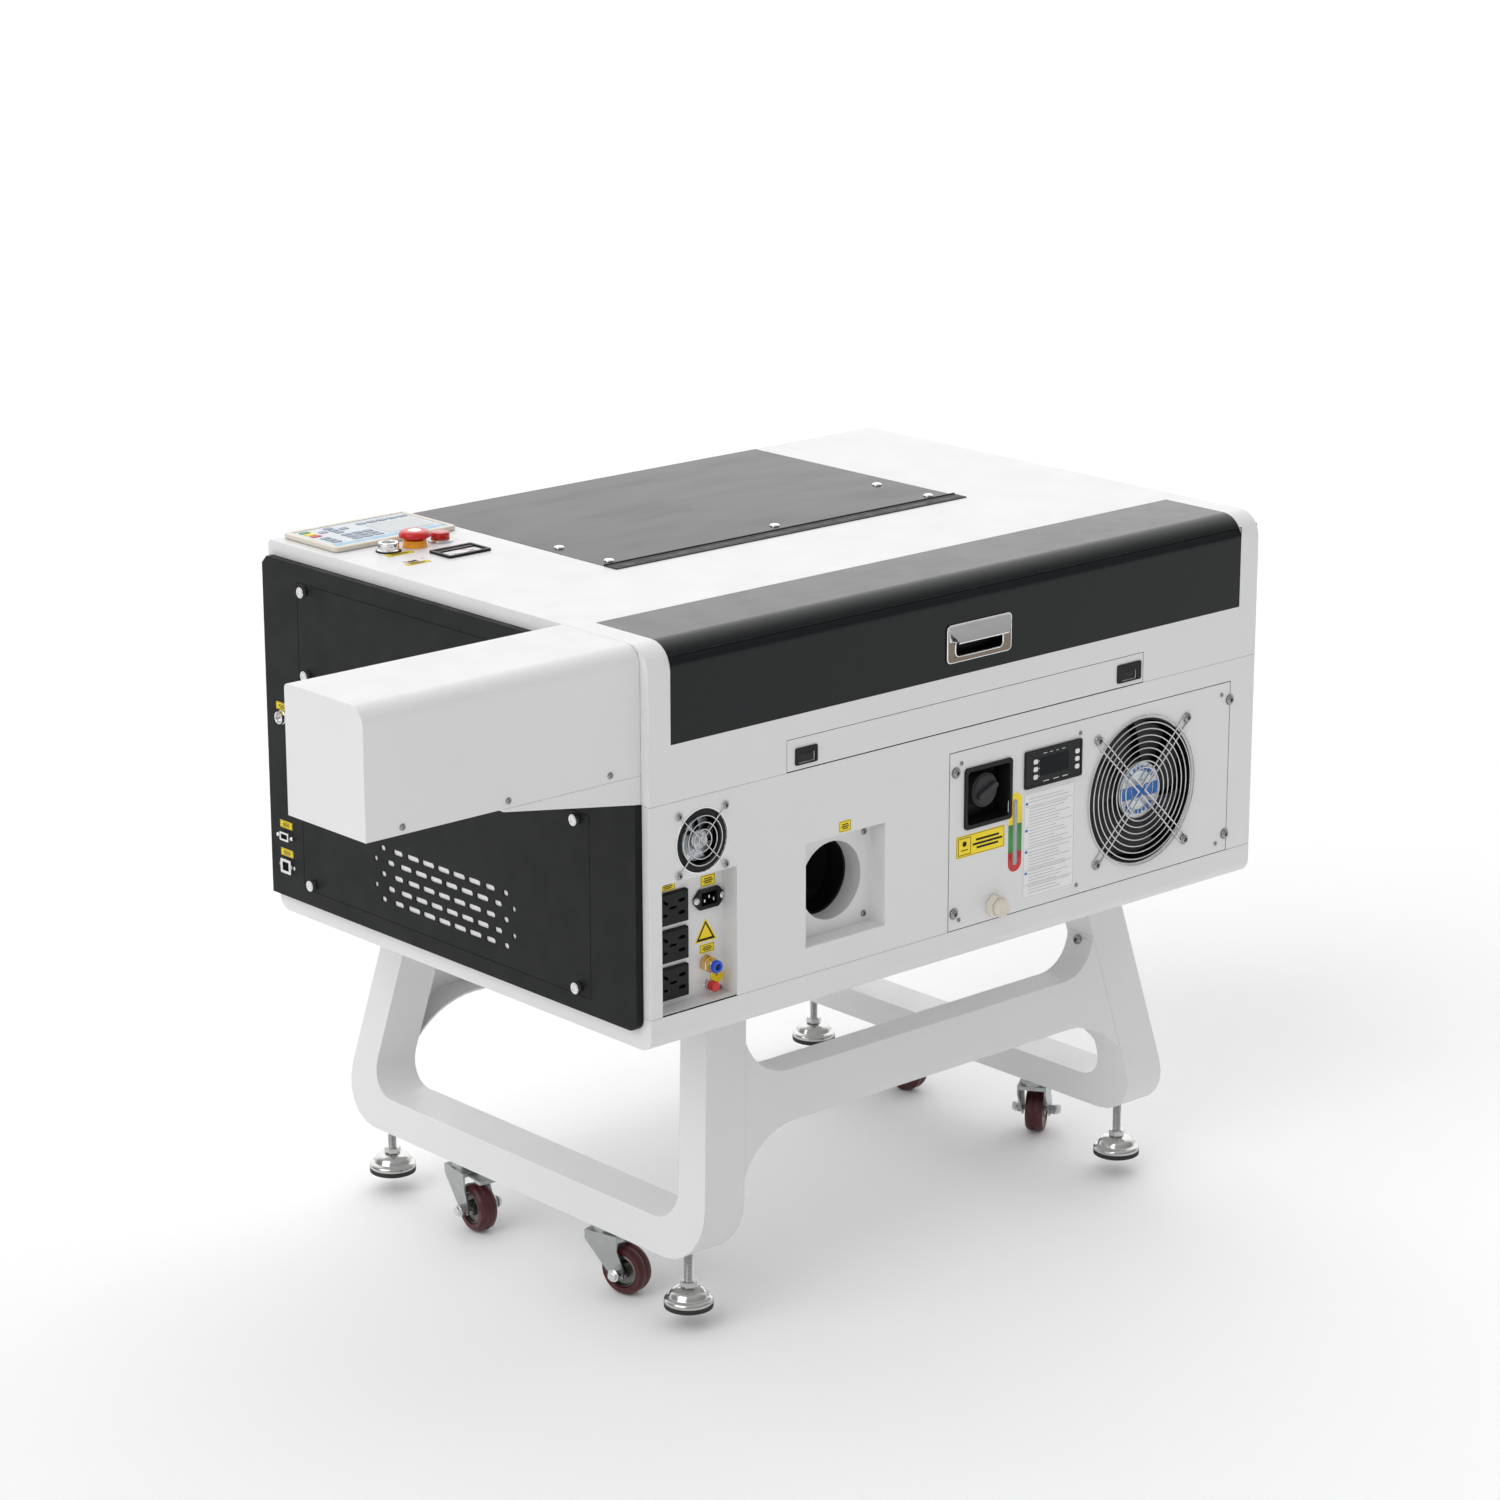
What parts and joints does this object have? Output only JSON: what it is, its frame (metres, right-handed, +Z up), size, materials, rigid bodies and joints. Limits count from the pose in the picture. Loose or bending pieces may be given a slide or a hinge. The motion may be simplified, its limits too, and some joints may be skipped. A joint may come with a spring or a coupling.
{
  "type": "laser engraver",
  "caption": "Floor-standing laser engraver on casters, with a smoked window lid, a rear tube compartment and its side extension.",
  "frame": {"origin": "middle of the footprint, on the floor", "axes": "+X towards the operator's right and the side extension, +Y towards the rear, +Z up"},
  "size_m": [1.438, 0.7715, 0.921],
  "materials": {
    "white_paint": "satin powder coat",
    "black_paint": "fine textured powder coat",
    "smoked_panel": "smooth smoked sheet",
    "chrome": "polished",
    "zinc": "zinc plated",
    "aluminium": "satin anodised",
    "black_plastic": "matte",
    "cream_plastic": "matte",
    "white_plastic": "matte",
    "red_plastic": "gloss",
    "red_tyre": "polyurethane tread",
    "brass": "machined",
    "tube_glass": "clear glass",
    "steel": "ground"
  },
  "bodies": {
    "machine_body": {"base_frame": "white_paint", "lower_cabinet": "white_paint", "upper_cabinet": "white_paint", "side_panel_right": "black_paint", "side_panel_left": "black_paint", "extension_cover": "white_paint", "extension_bracket": "white_paint", "keypad": "cream_plastic", "socket_recess": "white_paint", "power_inlet": "black_plastic", "air_fitting": "brass", "exhaust_recess": "white_paint", "small_fan_guard": "chrome", "chiller_panel": "white_paint", "big_fan_guard": "chrome", "water_tank": "white_plastic", "power_supply": "steel", "laser_tube": "tube_glass", "tube_holder_right": "aluminium", "tube_holder_left": "aluminium", "first_mirror": "aluminium", "rail_right": "steel", "rail_left": "steel", "stand_frame_right": "white_paint", "stand_frame_left": "white_paint", "stand_beam_rear": "white_paint", "stand_beam_front": "white_paint"},
    "tube_lid": {"tube_lid": "black_paint", "tube_lid_handle": "chrome"},
    "window_lid": {"window_lid": "smoked_panel"},
    "rear_flap": {"rear_flap": "white_paint"},
    "flap_latch_right": {"flap_latch_right": "black_plastic"},
    "flap_latch_left": {"flap_latch_left": "black_plastic"},
    "service_door_upper": {"service_door_upper": "black_paint"},
    "service_door_lower": {"service_door_lower": "black_paint"},
    "scrap_drawer": {"scrap_drawer": "white_paint"},
    "emergency_stop_button": {"emergency_stop_button": "red_plastic"},
    "key_switch": {"key_switch": "chrome"},
    "laser_button": {"laser_button": "red_plastic"},
    "small_fan_rotor": {"small_fan_rotor": "black_plastic"},
    "big_fan_rotor": {"big_fan_rotor": "black_plastic"},
    "filler_cap": {"filler_cap": "black_plastic"},
    "drain_cap": {"drain_cap": "white_plastic"},
    "gantry_beam": {"gantry_beam": "aluminium"},
    "laser_head": {"laser_head": "aluminium"},
    "work_table": {"work_table": "aluminium"},
    "leveling_foot_rear_right": {"leveling_foot_rear_right": "chrome"},
    "caster_fork_rear_right": {"caster_fork_rear_right": "zinc"},
    "caster_wheel_rear_right": {"caster_wheel_rear_right": "red_tyre"},
    "leveling_foot_rear_left": {"leveling_foot_rear_left": "chrome"},
    "caster_fork_rear_left": {"caster_fork_rear_left": "zinc"},
    "caster_wheel_rear_left": {"caster_wheel_rear_left": "red_tyre"},
    "leveling_foot_front_right": {"leveling_foot_front_right": "chrome"},
    "caster_fork_front_right": {"caster_fork_front_right": "zinc"},
    "caster_wheel_front_right": {"caster_wheel_front_right": "red_tyre"},
    "leveling_foot_front_left": {"leveling_foot_front_left": "chrome"},
    "caster_fork_front_left": {"caster_fork_front_left": "zinc"},
    "caster_wheel_front_left": {"caster_wheel_front_left": "red_tyre"},
    "brake_pedal_front_right": {"brake_pedal_front_right": "zinc"},
    "brake_pedal_front_left": {"brake_pedal_front_left": "zinc"}
  },
  "joints": [
    {"name": "tube_lid_hinge", "type": "hinge", "parent": "machine_body", "child": "tube_lid", "pos_m": [-0.19, 0.23325, 0.9006], "axis": [1, 0, 0], "range_deg": [0, 95]},
    {"name": "window_lid_hinge", "type": "hinge", "parent": "machine_body", "child": "window_lid", "pos_m": [-0.19, 0.02445, 0.9006], "axis": [-1, 0, 0], "range_deg": [0, 70]},
    {"name": "rear_flap_hinge", "type": "hinge", "parent": "machine_body", "child": "rear_flap", "pos_m": [-0.19, 0.36605, 0.7119], "axis": [-1, 0, 0], "range_deg": [0, 100]},
    {"name": "flap_latch_right_slide", "type": "slide", "parent": "rear_flap", "child": "flap_latch_right", "axis": [0, 0, 1], "range_m": [0, 0.006]},
    {"name": "flap_latch_left_slide", "type": "slide", "parent": "rear_flap", "child": "flap_latch_left", "axis": [0, 0, 1], "range_m": [0, 0.006]},
    {"name": "service_door_upper_off", "type": "slide", "parent": "machine_body", "child": "service_door_upper", "axis": [1, 0, 0], "range_m": [0, 0.15]},
    {"name": "service_door_lower_off", "type": "slide", "parent": "machine_body", "child": "service_door_lower", "axis": [1, 0, 0], "range_m": [0, 0.15]},
    {"name": "scrap_drawer_slide", "type": "slide", "parent": "machine_body", "child": "scrap_drawer", "axis": [0, -1, 0], "range_m": [0, 0.38]},
    {"name": "emergency_stop_press", "type": "slide", "parent": "machine_body", "child": "emergency_stop_button", "axis": [0, 0, -1], "range_m": [0, 0.004], "stiffness_N_per_m": 2500, "springref_m": -0.002},
    {"name": "key_turn", "type": "hinge", "parent": "machine_body", "child": "key_switch", "pos_m": [0.256, -0.21555, 0.9003], "axis": [0, 0, -1], "range_deg": [0, 90]},
    {"name": "laser_button_press", "type": "slide", "parent": "machine_body", "child": "laser_button", "axis": [0, 0, -1], "range_m": [0, 0.003], "stiffness_N_per_m": 1200, "springref_m": -0.002},
    {"name": "small_fan_spin", "type": "hinge", "parent": "machine_body", "child": "small_fan_rotor", "pos_m": [0.2482, 0.34825, 0.6566], "axis": [0, 1, 0], "continuous": true},
    {"name": "big_fan_spin", "type": "hinge", "parent": "machine_body", "child": "big_fan_rotor", "pos_m": [-0.497, 0.33325, 0.5678], "axis": [0, 1, 0], "continuous": true},
    {"name": "filler_cap_turn", "type": "hinge", "parent": "machine_body", "child": "filler_cap", "pos_m": [-0.222, 0.33775, 0.622], "axis": [0, 1, 0], "range_deg": [0, 350]},
    {"name": "drain_cap_turn", "type": "hinge", "parent": "machine_body", "child": "drain_cap", "pos_m": [-0.232, 0.36575, 0.472], "axis": [0, 1, 0], "range_deg": [0, 350]},
    {"name": "gantry_slide", "type": "slide", "parent": "machine_body", "child": "gantry_beam", "axis": [0, -1, 0], "range_m": [0, 0.4]},
    {"name": "laser_head_slide", "type": "slide", "parent": "gantry_beam", "child": "laser_head", "axis": [-1, 0, 0], "range_m": [-0.1, 0.5]},
    {"name": "work_table_lift", "type": "slide", "parent": "machine_body", "child": "work_table", "axis": [0, 0, -1], "range_m": [0, 0.12]},
    {"name": "leveling_foot_rear_right_screw", "type": "slide", "parent": "machine_body", "child": "leveling_foot_rear_right", "axis": [0, 0, -1], "range_m": [0, 0.03]},
    {"name": "leveling_foot_rear_left_screw", "type": "slide", "parent": "machine_body", "child": "leveling_foot_rear_left", "axis": [0, 0, -1], "range_m": [0, 0.03]},
    {"name": "leveling_foot_front_right_screw", "type": "slide", "parent": "machine_body", "child": "leveling_foot_front_right", "axis": [0, 0, -1], "range_m": [0, 0.03]},
    {"name": "leveling_foot_front_left_screw", "type": "slide", "parent": "machine_body", "child": "leveling_foot_front_left", "axis": [0, 0, -1], "range_m": [0, 0.03]},
    {"name": "caster_rear_right_swivel", "type": "hinge", "parent": "machine_body", "child": "caster_fork_rear_right", "pos_m": [0.191, 0.11195, 0.08], "axis": [0, 0, 1], "continuous": true},
    {"name": "caster_rear_right_roll", "type": "hinge", "parent": "caster_fork_rear_right", "child": "caster_wheel_rear_right", "pos_m": [0.18308, 0.14295, 0.032], "axis": [0.9689, 0.2474, 0], "continuous": true},
    {"name": "caster_front_right_swivel", "type": "hinge", "parent": "machine_body", "child": "caster_fork_front_right", "pos_m": [0.191, -0.17345, 0.08], "axis": [0, 0, 1], "continuous": true},
    {"name": "caster_front_right_roll", "type": "hinge", "parent": "caster_fork_front_right", "child": "caster_wheel_front_right", "pos_m": [0.19515, -0.14172, 0.032], "axis": [0.9916, -0.1296, 0], "continuous": true},
    {"name": "brake_pedal_front_right_press", "type": "hinge", "parent": "caster_fork_front_right", "child": "brake_pedal_front_right", "pos_m": [0.19504, -0.14251, 0.076], "axis": [0.9916, -0.1296, 0], "range_deg": [-12, 0]},
    {"name": "caster_rear_left_swivel", "type": "hinge", "parent": "machine_body", "child": "caster_fork_rear_left", "pos_m": [-0.571, 0.11195, 0.08], "axis": [0, 0, 1], "continuous": true},
    {"name": "caster_rear_left_roll", "type": "hinge", "parent": "caster_fork_rear_left", "child": "caster_wheel_rear_left", "pos_m": [-0.59706, 0.09338, 0.032], "axis": [-0.5804, 0.8143, 0], "continuous": true},
    {"name": "caster_front_left_swivel", "type": "hinge", "parent": "machine_body", "child": "caster_fork_front_left", "pos_m": [-0.571, -0.17345, 0.08], "axis": [0, 0, 1], "continuous": true},
    {"name": "caster_front_left_roll", "type": "hinge", "parent": "caster_fork_front_left", "child": "caster_wheel_front_left", "pos_m": [-0.5742, -0.14161, 0.032], "axis": [0.995, 0.0998, 0], "continuous": true},
    {"name": "brake_pedal_front_left_press", "type": "hinge", "parent": "caster_fork_front_left", "child": "brake_pedal_front_left", "pos_m": [-0.57412, -0.14241, 0.076], "axis": [0.995, 0.0998, 0], "range_deg": [-12, 0]}
  ]
}
